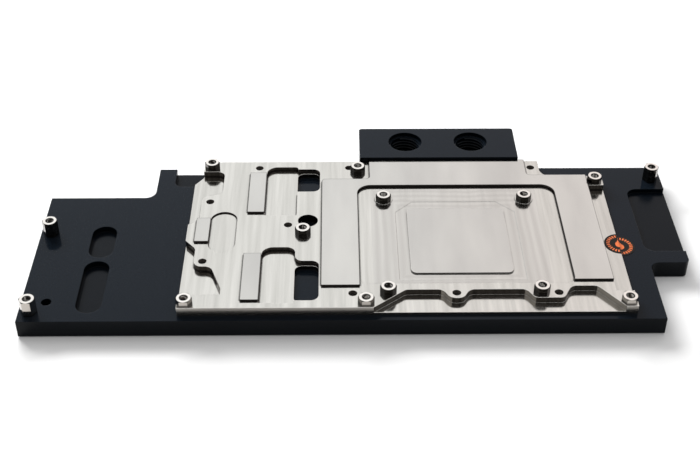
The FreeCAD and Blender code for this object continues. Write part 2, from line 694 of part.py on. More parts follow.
# Terminal block with two threaded ports.
terminal = new_body("terminal_block")
terminal_edge = outline(terminal, "TerminalOutline", "tongue_thick", [
    box("terminal_left", "plate_rear + terminal_gap", "terminal_right", "terminal_rear")])
pad(terminal, "TerminalPad", terminal_edge, "terminal_top - tongue_thick")
round_corners(terminal, "TerminalRound", terminal_edge, [2, 3], "terminal_round")
cut(terminal, "PortCut", outline(terminal, "Ports", "terminal_top", circles=[
    (x, y, "port_minor") for x, y in port_spots]))
cut(terminal, "PortReliefCut", outline(terminal, "PortReliefs", "terminal_top", circles=[
    (x, y, "port_relief") for x, y in port_spots]), "port_relief_depth")
cut(terminal, "TerminalHoleCut", outline(terminal, "TerminalHoles", "tongue_thick", circles=[
    (x, y, "screw + 2 * screw_fit") for x, y in terminal_spots]),
    "terminal_screw_bite + screw_end_room", upward=True)

# Jet plate over the fins.
jet = new_body("jet_plate")
jet_outline = outline(jet, "JetOutline", "plate_thick - jet_plate_thick", [
    box("jet_lip + jet_fit - jet_half", "jet_front + jet_lip + jet_fit",
        "jet_half - jet_lip - jet_fit", "jet_rear - jet_lip - jet_fit"),
    box("-jet_slot_half", "(jet_front + jet_rear - jet_slot_width) / 2",
        "jet_slot_half", "(jet_front + jet_rear + jet_slot_width) / 2")])
pad(jet, "JetPad", jet_outline, "jet_plate_thick")

# Seals, as deep as their grooves and a little narrower.
for name, path in (("main_seal", seal_path), ("island_seal", island_path)):
    seal = new_body(name)
    ring, wide, tight = band(seal, f"{name}_path", "plate_thick - groove_depth", path,
                             "groove_width / 2 - groove_fit")
    pad(seal, f"{name}_pad", ring, "groove_depth")
    round_corners(seal, f"{name}_outer", ring, wide, "groove_corner - groove_fit")
    round_corners(seal, f"{name}_inner", ring, tight, "groove_corner - groove_width + groove_fit")
port_seals = new_body("port_seals")
pad(port_seals, "PortSealPad", outline(port_seals, "PortSealRings", "tongue_thick - groove_depth", circles=[
    (x, y, edge) for x, y in port_spots
    for edge in ("port_seal_inner + 2 * groove_fit", "port_seal_outer - 2 * groove_fit")]), "groove_depth")


def screw_set(name, spots, tip):
    """Socket screws that come in from the outer face."""
    body = new_body(name)
    top_of_head = "screw_sink - screw_head_height"
    pad(body, f"{name}_heads", outline(body, f"{name}_head_rings", top_of_head, circles=[
        (x, y, "screw_head") for x, y in spots]), "screw_head_height")
    pad(body, f"{name}_shanks", outline(body, f"{name}_shank_rings", "screw_sink", circles=[
        (x, y, "screw") for x, y in spots]), f"{tip} - screw_sink")
    cut(body, f"{name}_sockets", outline(body, f"{name}_socket_hexes", top_of_head, [
        hexagon(x, y, "screw_socket") for x, y in spots]), "screw_socket_depth", upward=True)
    return body


screw_set("base_screws", screw_spots, f"({deck_level} - screw_tip_gap)")
screw_set("terminal_screws", terminal_spots, "(tongue_thick + terminal_screw_bite)")


def post_set(name, spots, seat, bore_depth, stud_length):
    """Hexagonal standoffs with turned corners, a tapped hole on top and a stud below."""
    body = new_body(name)
    tip = "(plate_thick + cold_thick + board_gap)"
    pad(body, f"{name}_hexes", outline(body, f"{name}_hex_loops", seat, [
        hexagon(x, y, "hex_flats") for x, y in spots]), f"{tip} - ({seat})")
    cut(body, f"{name}_crowns", outline(body, f"{name}_crown_rings", tip, circles=[
        (x, y, edge) for x, y in spots for edge in ("hex_flats", "hex_flats + 2 * crown_width")]),
        "crown_height", taper="crown_angle")
    pad(body, f"{name}_studs", outline(body, f"{name}_stud_rings", f"{seat} - {stud_length}", circles=[
        (x, y, "stud") for x, y in spots]), stud_length)
    cut(body, f"{name}_bores", outline(body, f"{name}_bore_rings", tip, circles=[
        (x, y, "post_bore") for x, y in spots]), bore_depth)
    top_level = sizes["plate_thick"] + sizes["cold_thick"] + sizes["board_gap"]
    bored = body.Tip
    mouths = [f"Edge{number}" for number, edge in enumerate(bored.Shape.Edges, 1)
              if edge.BoundBox.ZMin > top_level - 0.01
              and abs(edge.BoundBox.XLength - sizes["post_bore"]) < 0.05]
    bevel = body.newObject("PartDesign::Chamfer", f"{name}_mouths")
    bevel.Base = (bored, mouths)
    bevel.setExpression("Size", ref("post_bore_chamfer"))
    settle(bevel)
    return body


post_set("gpu_standoffs", gpu_spots, deck_level, "post_bore_depth", "stud_length")
post_set("board_standoffs", board_spots, deck_level, "post_bore_depth", "stud_length")
post_set("tall_standoffs", tall_spots, "plate_thick", "tall_bore_depth", "tall_stud_length")

# Round seal label, bent down over the cold plate's right edge.
label = new_body("seal_label")
label_step = "plate_thick + cold_thick - ledge_depth"
fold = outline(label, "LabelFold", "-label_y - label / 2 - 1", [[
    ("label_x - label / 2 - 1", label_step), ("cold_right", label_step), ("cold_right", "plate_thick"),
    ("label_x + label / 2 + 1", "plate_thick"), ("label_x + label / 2 + 1", "plate_thick + label_thick"),
    ("cold_right + label_thick", "plate_thick + label_thick"),
    ("cold_right + label_thick", f"{label_step} + label_thick"),
    ("label_x - label / 2 - 1", f"{label_step} + label_thick")]], role="XZ_Plane")
pad(label, "LabelPad", fold, "label + 2")
cut(label, "LabelTrimCut", outline(label, "LabelTrim", label_step, [
    box("label_x - label", "label_y - label", "label_x + label", "label_y + label")],
    [("label_x", "label_y", "label")]))

doc.recompute()
bodies = [item for item in doc.Objects if item.TypeId == "PartDesign::Body"]
for item in doc.Objects:
    if "Invalid" in item.State or "Error" in item.State:
        raise RuntimeError(f"{item.Name} failed: {item.State}")
for body in bodies:
    if body.Shape.isNull() or not body.Shape.isValid():
        raise RuntimeError(f"{body.Label} has no valid shape")

os.makedirs("parts", exist_ok=True)
for body in bodies:
    body.Shape.exportStep(f"parts/{body.Label}.step")
    print(body.Label, len(body.Shape.Solids), round(body.Shape.Volume, 1))
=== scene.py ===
import math

import bpy
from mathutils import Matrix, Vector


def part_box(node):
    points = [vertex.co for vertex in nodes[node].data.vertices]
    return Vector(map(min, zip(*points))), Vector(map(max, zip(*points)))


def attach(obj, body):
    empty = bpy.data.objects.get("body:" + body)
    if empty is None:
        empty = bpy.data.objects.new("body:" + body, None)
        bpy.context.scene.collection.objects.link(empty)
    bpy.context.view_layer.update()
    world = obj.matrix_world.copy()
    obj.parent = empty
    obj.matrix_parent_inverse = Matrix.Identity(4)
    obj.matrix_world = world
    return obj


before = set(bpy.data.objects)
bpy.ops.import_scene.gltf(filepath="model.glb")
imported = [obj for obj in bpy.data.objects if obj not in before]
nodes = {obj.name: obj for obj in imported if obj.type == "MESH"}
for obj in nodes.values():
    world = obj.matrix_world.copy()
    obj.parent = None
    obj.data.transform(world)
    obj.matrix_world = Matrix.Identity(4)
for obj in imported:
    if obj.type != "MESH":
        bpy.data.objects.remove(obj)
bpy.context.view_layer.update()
mm = 0.001
print("frame loaded,", len(nodes), "nodes")


def linear(hexColour):
    # sRGB hex to the linear values that shaders want
    values = [int(hexColour[i:i + 2], 16) / 255 for i in (1, 3, 5)]
    return [v / 12.92 if v <= 0.04045 else ((v + 0.055) / 1.055) ** 2.4 for v in values] + [1.0]


def addNode(tree, kind, inputs=(), out=0, **settings):
    # one node with its settings and links; its inputs are sockets, values or hex colours, in order or by name, and
    # it gives back the output that is wanted
    node = tree.nodes.new("ShaderNode" + kind)
    for name, value in settings.items():
        setattr(node, name, value)
    for socket, value in inputs.items() if isinstance(inputs, dict) else enumerate(inputs):
        if isinstance(value, bpy.types.NodeSocket):
            tree.links.new(value, node.inputs[socket])
        else:
            node.inputs[socket].default_value = linear(value) if isinstance(value, str) else value
    return node.outputs[out] if node.outputs else node


def newMaterial(name):
    material = bpy.data.materials.new(name)
    material.use_nodes = True
    material.node_tree.nodes.clear()
    return material, material.node_tree


def dress(nodeName, material):
    # the CAD mesh stays as it is, only its slots get the better material
    slots = nodes[nodeName].data.materials
    if len(slots) == 0:
        slots.append(material)
    for i in range(len(slots)):
        slots[i] = material


# the camera stands and looks as the photographer's did
view = {
    "place": (-0.0445343, -0.3509945, 0.2889947),
    "turn": (0.9079458, -0.0032784, -0.0116103),
    "lens": 63.586,
    "sensor": 36.0,
}
lensData = bpy.data.cameras.new("photoCamera")
lensData.lens = view["lens"]
lensData.sensor_width = view["sensor"]
lensData.clip_start = 0.01
camera = bpy.data.objects.new("photoCamera", lensData)
camera.location = view["place"]
camera.rotation_euler = view["turn"]
bpy.context.scene.collection.objects.link(camera)
bpy.context.scene.camera = camera
bpy.context.scene.view_settings.view_transform = "Standard"
print("camera placed")


# metres; a part of the room is a direction and two cosines of the angle to it, where it starts to show and where it
# is full
studio = {
    "floorSize": 12.0,
    "floorDrop": 0.02,  # mm under the object
    "floorColour": "#dcdcdc",
    "floorRough": 0.9,
    "floorLift": 0.05,  # the paper's own white, close by
    "paperNear": 0.17,  # from here it grows
    "paperFar": 0.48,  # and here it is full
    "backdrop": ((0.0, 0.80, 0.60), 0.72, 0.90),
    "ceiling": ((0.0, 0.0, 1.0), 0.68, 0.80),
    "darkCloths": (((0.0, -0.77, 0.64), 0.72, 0.93), ((0.612, 0.612, 0.50), 0.925, 0.96),
                   ((-0.612, 0.612, 0.50), 0.925, 0.96)),
    "warmPaper": ((0.503, 0.704, 0.503), 0.84, 0.97),
    "horizon": (0.20, 0.30),  # sines of the height where the white all round fades
    "roomLevel": 0.50,
    "clothLevel": 0.55,
    "ceilingLevel": 0.95,
    "warmColour": "#f5eeec",
}
lamps = {
    "overheadSoftbox": {"place": (0.0, 0.55, 0.80), "size": (0.9, 0.6), "power": 1.2},
    "rearSoftbox": {"place": (-0.40, 0.66, 0.52), "size": (0.7, 0.3), "power": 15.0},
}
lampAim = (-0.03, 0.02, 0.0)


def makeFloor():
    bpy.ops.object.select_all(action="DESELECT")
    bpy.ops.mesh.primitive_plane_add(size=studio["floorSize"], location=(0, 0, -studio["floorDrop"] * mm))
    floor = bpy.context.object
    floor.name = "studioFloor"
    material, tree = newMaterial("matt white paper sweep")
    # a little of its own white for the lens and for reflections, and all of it far out, where the lamps don't reach,
    # so the paper reads as white and keeps its shadow
    path = addNode(tree, "LightPath").node.outputs
    seen = addNode(tree, "Math", (path["Is Camera Ray"], path["Is Glossy Ray"]), operation="MAXIMUM")
    seen = addNode(tree, "Math", (seen, path["Is Transmission Ray"]), operation="MAXIMUM")
    where = addNode(tree, "TexCoord", out="Object")
    reach = addNode(tree, "VectorMath", (where,), "Value", operation="LENGTH")
    far = addNode(tree, "MapRange", (reach, studio["paperNear"], studio["paperFar"], studio["floorLift"], 1.0),
                  interpolation_type="SMOOTHSTEP")
    shader = addNode(tree, "BsdfPrincipled", {
        "Base Color": studio["floorColour"], "Roughness": studio["floorRough"], "Specular IOR Level": 0.0,
        "Emission Color": "#ffffff", "Emission Strength": addNode(tree, "Math", (seen, far), operation="MULTIPLY")})
    addNode(tree, "OutputMaterial", (shader,))
    floor.data.materials.append(material)


def makeWorld():
    # a white backdrop behind the object and a white horizon all round, a grey room elsewhere, and dark cloth where
    # the photographer stands and at both sides of the backdrop
    world = bpy.data.worlds.new("studioWorld")
    bpy.context.scene.world = world
    world.use_nodes = True
    tree = world.node_tree
    tree.nodes.clear()
    towards = addNode(tree, "TexCoord", out="Generated")

    def hang(patch, outside, inside):
        direction, edge, full = patch
        cone = addNode(tree, "VectorMath", (towards, direction), "Value", operation="DOT_PRODUCT")
        return addNode(tree, "MapRange", (cone, edge, full, outside, inside), interpolation_type="SMOOTHSTEP")

    level = hang(studio["backdrop"], studio["roomLevel"], 1.0)
    ceiling = hang(studio["ceiling"], 0.0, studio["ceilingLevel"])
    level = addNode(tree, "Math", (level, ceiling), operation="MAXIMUM")
    for cloth in studio["darkCloths"]:
        level = addNode(tree, "Math", (level, hang(cloth, 1.0, studio["clothLevel"])), operation="MULTIPLY")
    height = addNode(tree, "SeparateXYZ", (towards,), "Z")
    horizon = addNode(tree, "MapRange", (height, *studio["horizon"], 1.0, 0.0), interpolation_type="SMOOTHSTEP")
    level = addNode(tree, "Math", (level, horizon), operation="MAXIMUM")
    warmth = hang(studio["warmPaper"], 0.0, 1.0)
    tint = addNode(tree, "Mix", {0: warmth, 6: "#ffffff", 7: studio["warmColour"]}, 2, data_type="RGBA")
    addNode(tree, "OutputWorld", (addNode(tree, "Background", (tint, level)),))


def hangLamp(name, lamp):
    data = bpy.data.lights.new(name, "AREA")
    data.shape = "RECTANGLE"
    data.size, data.size_y = lamp["size"]
    data.energy = lamp["power"]
    softbox = bpy.data.objects.new(name, data)
    softbox.location = lamp["place"]
    dx, dy, dz = (a - p for a, p in zip(lampAim, lamp["place"]))
    softbox.rotation_euler = (math.atan2(math.hypot(dx, dy), -dz), 0, math.atan2(dy, dx) - math.pi / 2)
    softbox.visible_glossy = False
    bpy.context.scene.collection.objects.link(softbox)


makeFloor()
makeWorld()
for lampName, lamp in lamps.items():
    hangLamp(lampName, lamp)
print("studio set up")


wallTilt = (0.4, 0.8)  # how far up a face looks, from a wall to a floor
noiseMiddle = (0.3, 0.7)  # most of a noise lies between these


def wallMask(tree):
    # 1 on upright faces, 0 on level ones
    normal = addNode(tree, "NewGeometry", out="True Normal")
    level = addNode(tree, "Math", (addNode(tree, "SeparateXYZ", (normal,), "Z"),), operation="ABSOLUTE")
    return addNode(tree, "MapRange", (level, *wallTilt, 1.0, 0.0))


def cornerMask(tree, reachMm, sharp, soft, inside=False):
    # 1 where another wall stands close by, where painted shade goes into a milled corner;
    # from the inside of the metal it finds the outer edges instead, for painted highlights and dark rims
    shade = addNode(tree, "AmbientOcclusion", {"Distance": reachMm * mm}, "AO", samples=8, only_local=True,
                    inside=inside)
    return addNode(tree, "MapRange", (shade, sharp, soft, 1.0, 0.0))


def makeMarks(tree, marks):
    # noises of a real size in mm, each drawn out along an axis where its stretch is small; grain and tool lines are
    # finer on the real thing and are drawn as coarse as they need to show
    where = addNode(tree, "TexCoord", out="Object")
    found = {}
    for name, (sizeMm, stretch, detail) in marks.items():
        drawn = addNode(tree, "Mapping", {"Vector": where, "Scale": stretch})
        found[name] = addNode(tree, "TexNoise", {"Vector": drawn, "Scale": 1 / (sizeMm * mm), "Detail": detail})
    return found


# lengths are in mm; marks are size, stretch and detail; a level, a reach or a turn is a middle and half a width
acetal = {
    "faceLow": "#070b10",
    "faceHigh": "#131a22",
    # painted shade: the pocket floors and the sides are coloured darker than the faces
    "pocketShadeLow": "#04070b",
    "pocketShadeHigh": "#0a0f15",
    "sideLow": "#020509",
    "sideHigh": "#04080d",
    "shine": 0.12,  # less than plastic has, as the blasting breaks it up
    "ior": 1.48,
    "rough": (0.08, 0.15),
    "pocketRough": 0.22,
    "pocketLevel": (3.575, 3.275),
    "marks": {"grain": (0.5, (1, 1, 1), 2.0), "cloud": (18.0, (1, 1, 1), 3.0)},
    "blastDepth": 0.02,
    "blastStrength": 0.25,
    "edge": 0.25,
}


def milledAcetal():
    # acetal plastic: the faces milled and lightly blasted, a satin blue-black that still mirrors what stands on it;
    # the floors of the pockets and the sides are painted darker as shade, and the pocket floors are duller
    material, tree = newMaterial("black acetal, milled and blasted")
    marks = makeMarks(tree, acetal["marks"])
    height = addNode(tree, "SeparateXYZ", (addNode(tree, "TexCoord", out="Object"),), "Z")
    middle, half = acetal["pocketLevel"]
    sunk = addNode(tree, "Math", (height, middle * mm, half * mm), operation="COMPARE")
    # painted shade: pocket floors and upright sides take a darker colour
    face, pocketShade, side = (
        addNode(tree, "Mix", {0: marks["grain"], 6: acetal[part + "Low"], 7: acetal[part + "High"]}, 2,
                data_type="RGBA") for part in ("face", "pocketShade", "side"))
    colour = addNode(tree, "Mix", {0: sunk, 6: face, 7: pocketShade}, 2, data_type="RGBA")
    colour = addNode(tree, "Mix", {0: wallMask(tree), 6: colour, 7: side}, 2, data_type="RGBA")
    satin = addNode(tree, "MapRange", (marks["cloud"], *noiseMiddle, *acetal["rough"]))
    dull = addNode(tree, "Math", (sunk, acetal["pocketRough"]), operation="MULTIPLY")
    skin = addNode(tree, "Bump", {
        "Height": marks["grain"], "Strength": acetal["blastStrength"], "Distance": acetal["blastDepth"] * mm,
        "Normal": addNode(tree, "Bevel", {"Radius": acetal["edge"] * mm}, samples=6)})
    shader = addNode(tree, "BsdfPrincipled", {
        "Base Color": colour, "Roughness": addNode(tree, "Math", (satin, dull), operation="MAXIMUM"),
        "Normal": skin, "IOR": acetal["ior"], "Specular IOR Level": acetal["shine"]})
    addNode(tree, "OutputMaterial", (shader,))
    return material


nickel = {
    "faceLow": "#cccbc8",
    "faceHigh": "#dddcd8",
    "baseLow": "#d0cfca",
    "baseHigh": "#e5e4df",
    # painted light and shade: the walls' dark colours are painted shade, the slanting and outer walls painted light
    "wallShadeLow": "#1e1b19",
    "wallShadeHigh": "#67615b",
    "paintedLitWall": "#a29c95",
    "outerWallLit": "#a5a19b",
    # painted shade for corners and for the rims of raised faces
    "seamShade": "#2a2725",
    # painted highlight on the outer edges
    "edgeHighlight": "#f6f3ee",
    "pass": "#bebbb8",
    "faceRough": (0.10, 0.17),
    "wallRough": 0.24,
    "marks": {"line": (0.5, (1, 0.03, 1), 3.0), "band": (16.0, (1, 0.25, 1), 3.0),
              "flute": (0.7, (1, 1, 0.05), 2.0), "streak": (2.2, (1, 0.04, 1), 4.0)},
    "lineDepth": 0.01,
    "lineStrength": 0.10,
    "edge": 0.26,
    "baseLevel": (9.10, 1.60),
    "fieldLevel": (10.15, 0.15),
    "ledgeLevel": (8.25, 0.45),
    "raisedLevel": 11.0,
    "fieldMiddle": 2.1,  # of the chip field, from the middle of the four posts
    "fieldHalf": 31.5,
    "moatReach": (20.8, 3.2),
    "frontPart": -20.0,  # in front of this
    "outerSkin": 0.1,  # the plate's own front and back
    "litTurn": (-0.70, 0.25),  # of the normal's X, on walls that look to the left
    "passWidth": 3.1,
    "passWander": 4.0,  # so that the passes aren't ruled straight
    "passShare": 0.18,
    "fieldShare": 0.5,  # by how much the streaks fade in the chip field
    "paintedEdgeShare": 0.75,
    "plainShare": 0.8,  # by how much the painted shade at the walls' feet fades at some walls
    "paintedEdge": (0.35, 0.62, 0.86),  # reach, then the shade where it is full and where it ends
    "corner": (1.1, 0.62, 0.86),
}


def milledNickel():
    # copper, face milled, then nickel plated: a grey-white mirror, dulled by cutter lines that run across the card
    # and round the chip; the walls have upright lines and painted shade that makes them darker; the corners at their
    # feet get painted shade and the outer edges a painted highlight
    material, tree = newMaterial("nickel plated copper, milled")
    low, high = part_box("cold_plate")
    marks = makeMarks(tree, nickel["marks"])
    place = addNode(tree, "SeparateXYZ", (addNode(tree, "TexCoord", out="Object"),)).node.outputs
    turned = addNode(tree, "SeparateXYZ", (addNode(tree, "NewGeometry", out="True Normal"),), "X")
    wall = wallMask(tree)
    atLevel = {}
    for name in ("base", "field", "ledge"):
        middle, half = nickel[name + "Level"]
        atLevel[name] = addNode(tree, "Math", (place["Z"], middle * mm, half * mm), operation="COMPARE")
    front = addNode(tree, "Math", (place["Y"], nickel["frontPart"] * mm), operation="LESS_THAN")

    # the distance from the middle of the chip field, square to its sides, gives the passes of the cutter round it
    # and the moat that it left round the pad
    across = addNode(tree, "Math", (place["X"],), operation="ABSOLUTE")
    along = addNode(tree, "Math", (place["Y"], nickel["fieldMiddle"] * mm), operation="SUBTRACT")
    along = addNode(tree, "Math", (along,), operation="ABSOLUTE")
    square = addNode(tree, "Math", (across, along), operation="MAXIMUM")
    field = addNode(tree, "Math", (across, nickel["fieldHalf"] * mm), operation="LESS_THAN")
    field = addNode(tree, "Math", (field, atLevel["field"]), operation="MULTIPLY")
    moat = addNode(tree, "Math", (square, *(value * mm for value in nickel["moatReach"])), operation="COMPARE")
    moat = addNode(tree, "Math", (moat, field), operation="MULTIPLY")
    wander = addNode(tree, "Math", (marks["band"], nickel["passWander"] * mm, square), operation="MULTIPLY_ADD")
    turn = addNode(tree, "Math", (wander, 2 * math.pi / (nickel["passWidth"] * mm)), operation="MULTIPLY")
    turn = addNode(tree, "Math", (addNode(tree, "Math", (turn,), operation="SINE"), nickel["passShare"],
                                  nickel["passShare"]), operation="MULTIPLY_ADD")
    passes = addNode(tree, "Math", (turn, field), operation="MULTIPLY")

    # level faces: smooth where they stand high, streaked where they lie low
    bands = addNode(tree, "MapRange", (marks["band"], *noiseMiddle, 0.0, 1.0))
    streaks = addNode(tree, "MapRange", (marks["streak"], *noiseMiddle, 0.0, 1.0))
    calm = addNode(tree, "Math", (field, -nickel["fieldShare"], atLevel["base"]), operation="MULTIPLY_ADD")
    face = addNode(tree, "Mix", {0: bands, 6: nickel["faceLow"], 7: nickel["faceHigh"]}, 2, data_type="RGBA")
    base = addNode(tree, "Mix", {0: streaks, 6: nickel["baseLow"], 7: nickel["baseHigh"]}, 2, data_type="RGBA")
    face = addNode(tree, "Mix", {0: calm, 6: face, 7: base}, 2, data_type="RGBA")
    face = addNode(tree, "Mix", {0: passes, 6: face, 7: nickel["pass"]}, 2, data_type="RGBA")

    # walls: painted dark as shade, and painted light on the plate's front and back and where the scalloped ledge
    # slants left
    inner = addNode(tree, "Math", (place["Y"], (low.y + high.y) / 2,
                                   (high.y - low.y) / 2 - nickel["outerSkin"] * mm), operation="COMPARE")
    slant = addNode(tree, "Math", (turned, *nickel["litTurn"]), operation="COMPARE")
    slant = addNode(tree, "Math", (slant, front), operation="MULTIPLY")
    side = addNode(tree, "Mix", {0: marks["flute"], 6: nickel["wallShadeLow"], 7: nickel["wallShadeHigh"]}, 2, data_type="RGBA")
    side = addNode(tree, "Mix", {0: inner, 6: nickel["outerWallLit"], 7: side}, 2, data_type="RGBA")
    side = addNode(tree, "Mix", {0: slant, 6: side, 7: nickel["paintedLitWall"]}, 2, data_type="RGBA")
    colour = addNode(tree, "Mix", {0: wall, 6: face, 7: side}, 2, data_type="RGBA")

    # painted shade draws a dark line round the rim of a raised face, and a painted highlight lights the other edges
    raised = addNode(tree, "Math", (place["Z"], nickel["raisedLevel"] * mm), operation="GREATER_THAN")
    rim = addNode(tree, "Mix", {0: raised, 6: nickel["edgeHighlight"], 7: nickel["seamShade"]}, 2, data_type="RGBA")
    paintedEdge = addNode(tree, "Math", (cornerMask(tree, *nickel["paintedEdge"], inside=True), nickel["paintedEdgeShare"]),
                   operation="MULTIPLY")
    colour = addNode(tree, "Mix", {0: paintedEdge, 6: colour, 7: rim}, 2, data_type="RGBA")

    # painted shade darkens the feet of the walls, apart from the moat, the front ledge and the slanting wall
    ledge = addNode(tree, "Math", (atLevel["ledge"], front), operation="MULTIPLY")
    plain = addNode(tree, "Math", (moat, ledge), operation="MAXIMUM")
    plain = addNode(tree, "Math", (plain, addNode(tree, "Math", (slant, wall), operation="MULTIPLY")),
                    operation="MAXIMUM")
    plain = addNode(tree, "Math", (plain, -nickel["plainShare"], 1.0), operation="MULTIPLY_ADD")
    seamShade = addNode(tree, "Math", (cornerMask(tree, *nickel["corner"]), plain), operation="MULTIPLY")
    colour = addNode(tree, "Mix", {0: seamShade, 6: colour, 7: nickel["seamShade"]}, 2, data_type="RGBA")

    rough = addNode(tree, "MapRange", (marks["band"], *noiseMiddle, *nickel["faceRough"]))
    rough = addNode(tree, "Mix", {0: wall, 2: rough, 3: nickel["wallRough"]}, data_type="FLOAT")
    skin = addNode(tree, "Bump", {
        "Height": marks["line"], "Strength": nickel["lineStrength"], "Distance": nickel["lineDepth"] * mm,
        "Normal": addNode(tree, "Bevel", {"Radius": nickel["edge"] * mm}, samples=6)})
    shader = addNode(tree, "BsdfPrincipled", {"Base Color": colour, "Roughness": rough, "Normal": skin,
                                              "Metallic": 1.0})
    addNode(tree, "OutputMaterial", (shader,))
    return material


post = {
    # painted light and shade: a bright end as a highlight, dark flats and specks, lit front flats, dark crown and
    # groove
    "top": "#f7f4ef",
    "shortSide": "#56514c",
    "tallSide": "#88827c",
    "darkReflectionSpeck": "#24211e",
    "frontSide": "#b5afa8",
    "crownShade": "#24211e",
    "shortFoot": 11.53,  # top of the groove at the foot
    "tallFoot": 7.28,
    "footShare": 0.8,
    "frontPart": -30.0,  # the posts in front of this get painted light on their flats
    "levelTurn": 0.97,  # a face that looks up more than this is the faced end
    "rough": (0.07, 0.15),
    "marks": {"grain": (0.4, (1, 1, 1), 2.0), "patch": (1.1, (1, 1, 2), 1.0)},
    "edge": 0.08,
    # painted shade and painted glints inside the post's bore
    "threadShade": "#2b2825",
    "threadGlint": "#f2eee8",
    "threadRough": 0.10,
    "threadMarks": {"glint": (1.3, (1, 1, 1), 1.0)},
    "glintRange": (0.48, 0.58),
}


def turnedNickel(length):
    # brass, turned and nickel plated: the faced end nearly a mirror and painted bright as a highlight; the flats get
    # painted shade with specks of painted dark reflection, the front posts' flats painted light, and the crown that
    # rounds off the corners and the groove at the foot painted shade
    material, tree = newMaterial("nickel plated brass, turned")
    marks = makeMarks(tree, post["marks"])
    place = addNode(tree, "SeparateXYZ", (addNode(tree, "TexCoord", out="Object"),)).node.outputs
    upright = addNode(tree, "SeparateXYZ", (addNode(tree, "NewGeometry", out="True Normal"),), "Z")
    level = addNode(tree, "Math", (upright, post["levelTurn"]), operation="GREATER_THAN")
    front = addNode(tree, "Math", (place["Y"], post["frontPart"] * mm), operation="LESS_THAN")
    foot = addNode(tree, "Math", (place["Z"], post[length + "Foot"] * mm), operation="LESS_THAN")
    foot = addNode(tree, "Math", (foot, post["footShare"]), operation="MULTIPLY")
    patches = addNode(tree, "MapRange", (marks["patch"], *noiseMiddle, 0.0, 1.0))
    colour = addNode(tree, "Mix", {0: patches, 6: post["darkReflectionSpeck"], 7: post[length + "Side"]}, 2, data_type="RGBA")
    for share, tone in ((front, "frontSide"), (foot, "crownShade")):
        colour = addNode(tree, "Mix", {0: share, 6: colour, 7: post[tone]}, 2, data_type="RGBA")
    colour = addNode(tree, "Mix", {0: wallMask(tree), 6: post["crownShade"], 7: colour}, 2, data_type="RGBA")
    colour = addNode(tree, "Mix", {0: level, 6: colour, 7: post["top"]}, 2, data_type="RGBA")
    shader = addNode(tree, "BsdfPrincipled", {
        "Base Color": colour, "Roughness": addNode(tree, "MapRange", (marks["grain"], *noiseMiddle, *post["rough"])),
        "Normal": addNode(tree, "Bevel", {"Radius": post["edge"] * mm}, samples=6), "Metallic": 1.0})
    addNode(tree, "OutputMaterial", (shader,))
    return material


def tappedNickel():
    # the thread inside a post, cut before plating: painted dark as shade, with small painted glints
    material, tree = newMaterial("nickel plated brass, tapped")
    marks = makeMarks(tree, post["threadMarks"])
    glint = addNode(tree, "MapRange", (marks["glint"], *post["glintRange"], 0.0, 1.0))
    colour = addNode(tree, "Mix", {0: glint, 6: post["threadShade"], 7: post["threadGlint"]}, 2, data_type="RGBA")
    shader = addNode(tree, "BsdfPrincipled", {"Base Color": colour, "Roughness": post["threadRough"],
                                              "Metallic": 1.0})
    addNode(tree, "OutputMaterial", (shader,))
    return material


# the plain ones: a single colour, and a grain in mm that takes the roughness from one value to the other
finishes = {
    "screw": {"name": "stainless steel, headed and tumbled", "colour": "#b9b8b6", "metallic": 1.0,
              "rough": (0.24, 0.36), "grain": 0.3, "edge": 0.1},
    "seal": {"name": "nitrile rubber, moulded", "colour": "#17181a", "metallic": 0.0,
             "rough": (0.6, 0.8), "grain": 0.5, "edge": None},
    # painted shade: the tapped hole's dark colour
    "tapped": {"name": "nickel plated copper, tapped", "colour": "#4a4541", "metallic": 1.0,
               "rough": (0.25, 0.40), "grain": 0.3, "edge": None},
}


def plainFinish(finish):
    # a tumbled screw is a grey satin metal with soft edges, a moulded seal is matt black and looks dusty, and the
    # plating in a tapped hole is thin and dull, its dark colour painted shade
    material, tree = newMaterial(finish["name"])
    grain = makeMarks(tree, {"grain": (finish["grain"], (1, 1, 1), 2.0)})["grain"]
    looks = {"Base Color": finish["colour"], "Metallic": finish["metallic"],
             "Roughness": addNode(tree, "MapRange", (grain, *noiseMiddle, *finish["rough"]))}
    if finish["edge"]:
        looks["Normal"] = addNode(tree, "Bevel", {"Radius": finish["edge"] * mm}, samples=4)
    addNode(tree, "OutputMaterial", (addNode(tree, "BsdfPrincipled", looks),))
    return material


# the label's sizes are shares of its radius
label = {
    "ink": "#cf6a3c",
    "ground": "#14100d",
    "strokes": 26,
    "strokeShare": 0.27,  # half a stroke, of the step to the next
    "ring": (0.75, 0.11),  # middle and half width
    "dropMiddle": (0.0, -0.08, 0.0),
    "dropRadius": 0.30,
    "dropTip": 0.56,
    "dropSlope": 0.42,
    "rough": 0.45,
    "shine": 0.2,
}


